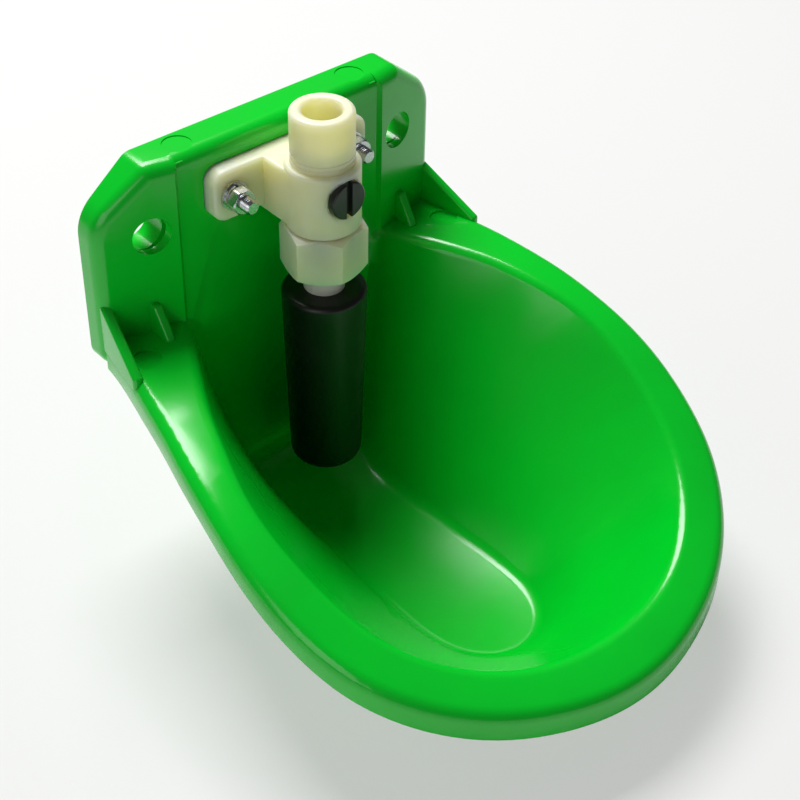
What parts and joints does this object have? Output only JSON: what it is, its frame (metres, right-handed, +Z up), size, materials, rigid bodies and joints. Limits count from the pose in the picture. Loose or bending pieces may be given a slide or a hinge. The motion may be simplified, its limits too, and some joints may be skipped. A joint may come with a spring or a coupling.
{
  "type": "livestock drinking bowl",
  "caption": "Wall-mounted livestock drinking bowl with a rolled rim and a water valve that opens when its hanging tube is pushed.",
  "frame": {"origin": "midway between the two wall holes, on the plane of the plate's back face", "axes": "+Y points into the wall, +Z up towards the water inlet, +X to the right seen from the front"},
  "size_m": [0.1738, 0.1895, 0.1605],
  "materials": {
    "green_plastic": "moulded, glossy",
    "cream_plastic": "moulded, slightly translucent",
    "nut_plastic": "moulded, slightly translucent",
    "strainer_plastic": "moulded",
    "screen_steel": "fine perforated sheet",
    "seat_plastic": "turned",
    "seat_ring_rubber": "soft",
    "poppet_plastic": "moulded",
    "seal_rubber": "soft",
    "stem_steel": "turned",
    "foot_plastic": "moulded",
    "spring_steel": "drawn wire",
    "nozzle_plastic": "moulded",
    "tube_rubber": "smooth, dull",
    "screw_plastic": "moulded",
    "screw_ring_rubber": "soft",
    "bolt_steel": "zinc plated",
    "nut_steel": "zinc plated",
    "washer_steel": "zinc plated",
    "lock_washer_steel": "zinc plated"
  },
  "bodies": {
    "bowl_and_valve": {"bowl": "green_plastic", "valve_body": "cream_plastic", "union_nut": "nut_plastic", "strainer_frame": "strainer_plastic", "strainer_screen": "screen_steel", "seat_insert": "seat_plastic", "seat_oring": "seat_ring_rubber", "return_spring": "spring_steel", "mount_bolts": "bolt_steel", "bolt_nuts": "nut_steel", "bolt_washers": "washer_steel", "bolt_lock_washers": "lock_washer_steel"},
    "hanging_tube": {"tilt_nozzle": "nozzle_plastic", "push_tube": "tube_rubber"},
    "poppet_group": {"poppet": "poppet_plastic", "poppet_seal": "seal_rubber", "valve_stem": "stem_steel", "stem_foot": "foot_plastic"},
    "regulator": {"regulator_screw": "screw_plastic", "regulator_oring": "screw_ring_rubber"}
  },
  "joints": [
    {"name": "tube_tilt", "type": "hinge", "parent": "bowl_and_valve", "child": "hanging_tube", "pos_m": [0, -0.0353, -0.0145], "axis": [1, 0, 0], "range_deg": [0, 5], "stiffness_Nm_per_rad": 2, "springref_deg": -2.86},
    {"name": "poppet_lift", "type": "slide", "parent": "bowl_and_valve", "child": "poppet_group", "axis": [0, 0, 1], "range_m": [0, 0.00065], "deforming": ["return_spring"]},
    {"name": "regulator_turn", "type": "hinge", "parent": "bowl_and_valve", "child": "regulator", "pos_m": [0, -0.0353, 0.01], "axis": [0, -1, 0], "range_deg": [0, 720]}
  ],
  "couplings": [
    {"joint": "poppet_lift", "follows": "tube_tilt", "m_per_rad": 0.007}
  ]
}
